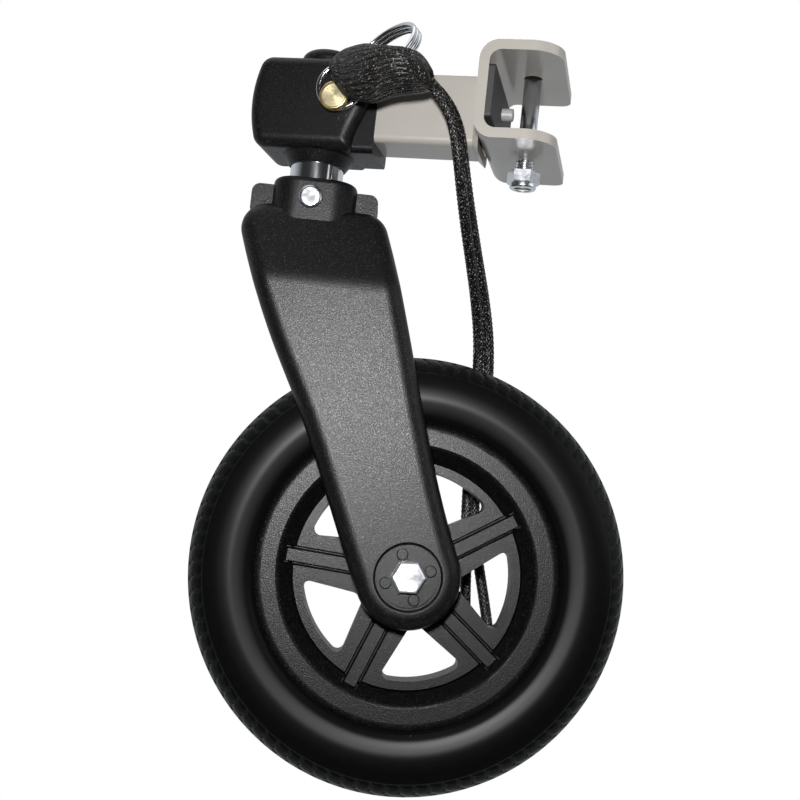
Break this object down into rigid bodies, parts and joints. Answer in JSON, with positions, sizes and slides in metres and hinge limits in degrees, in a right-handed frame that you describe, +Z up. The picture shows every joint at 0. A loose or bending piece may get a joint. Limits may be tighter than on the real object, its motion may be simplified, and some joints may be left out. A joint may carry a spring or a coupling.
{
  "type": "swivelling gate wheel",
  "caption": "Swivelling spoked caster wheel on a short arm, with a channel bracket and bolt that fasten it to a gate's frame and a pull-out retaining pin on a cord.",
  "frame": {"origin": "on the outer face of the rubber pad inside the bracket's channel, at the middle of the channel's depth and of its gap, where the gate's frame member seats", "axes": "+X along the arm, out of the channel's open side; +Z up, along the swivel stem and the clamp bolt; +Y towards the wheel's far side"},
  "size_m": [0.1966, 0.1076, 0.343],
  "materials": {
    "grey_paint": "warm grey gloss paint",
    "zinc_steel": "bright zinc plate",
    "bright_chrome": "polished chrome",
    "bearing_steel": "ground steel",
    "yellow_zinc": "turned, yellow zinc plate",
    "black_nylon": "moulded glass-filled nylon, fine texture",
    "white_nylon": "satin nylon",
    "black_rubber": "smooth rubber",
    "tyre_rubber": "glossy moulded rubber",
    "braided_cord": "braided nylon with a slight gloss"
  },
  "bodies": {
    "arm": {"clamp_channel": "grey_paint", "web_pad": "black_rubber", "locating_peg": "grey_paint", "clamp_bolt": "zinc_steel", "clamp_washer": "zinc_steel", "clamp_nut": "zinc_steel", "nut_insert": "white_nylon", "arm_tube": "grey_paint", "arm_weld": "grey_paint", "pivot_sleeve": "grey_paint", "lower_bush": "white_nylon", "upper_bush": "white_nylon", "thrust_plate": "grey_paint", "head_cover": "black_nylon", "head_cap": "black_nylon", "cord_loop": "braided_cord"},
    "fork": {"stem": "bright_chrome", "fork_near_half": "black_nylon", "fork_far_half": "black_nylon", "ear_screws": "zinc_steel", "crown_bolt": "zinc_steel", "crown_nut": "zinc_steel", "axle_disc_near": "black_nylon", "axle_disc_far": "black_nylon", "axle_bolt": "zinc_steel", "axle_nut": "zinc_steel", "axle_spacers": "bearing_steel", "hub_spacer": "bearing_steel", "bearing_inner_races": "bearing_steel"},
    "wheel": {"rim_ring": "black_nylon", "rim_spoke_1": "black_nylon", "rim_spoke_2": "black_nylon", "rim_spoke_3": "black_nylon", "rim_spoke_4": "black_nylon", "rim_spoke_5": "black_nylon", "rim_hub": "black_nylon", "tyre": "tyre_rubber", "bearing_outer_races": "bearing_steel", "bearing_balls": "bearing_steel", "bearing_shields": "black_rubber"},
    "pin": {"retaining_pin": "yellow_zinc", "pin_ring": "bright_chrome", "cord_hitch": "braided_cord"},
    "pull_ring": {"pull_ring": "bright_chrome"}
  },
  "joints": [
    {"name": "swivel", "type": "hinge", "parent": "arm", "child": "fork", "pos_m": [-0.085, 0, 0], "axis": [0, 0, 1], "continuous": true, "deforming": ["cord_loop"]},
    {"name": "wheel_spin", "type": "hinge", "parent": "fork", "child": "wheel", "pos_m": [-0.0244, 0.0131, -0.214], "axis": [0.2113, -0.9774, 0], "continuous": true},
    {"name": "pin_pull", "type": "slide", "parent": "arm", "child": "pin", "axis": [0, -1, 0], "range_m": [0, 0.05]},
    {"name": "ring_turn", "type": "hinge", "parent": "pin", "child": "pull_ring", "pos_m": [-0.0495, -0.0378, 0.0113], "axis": [-0.5247, -0.6918, 0.4961], "continuous": true}
  ]
}
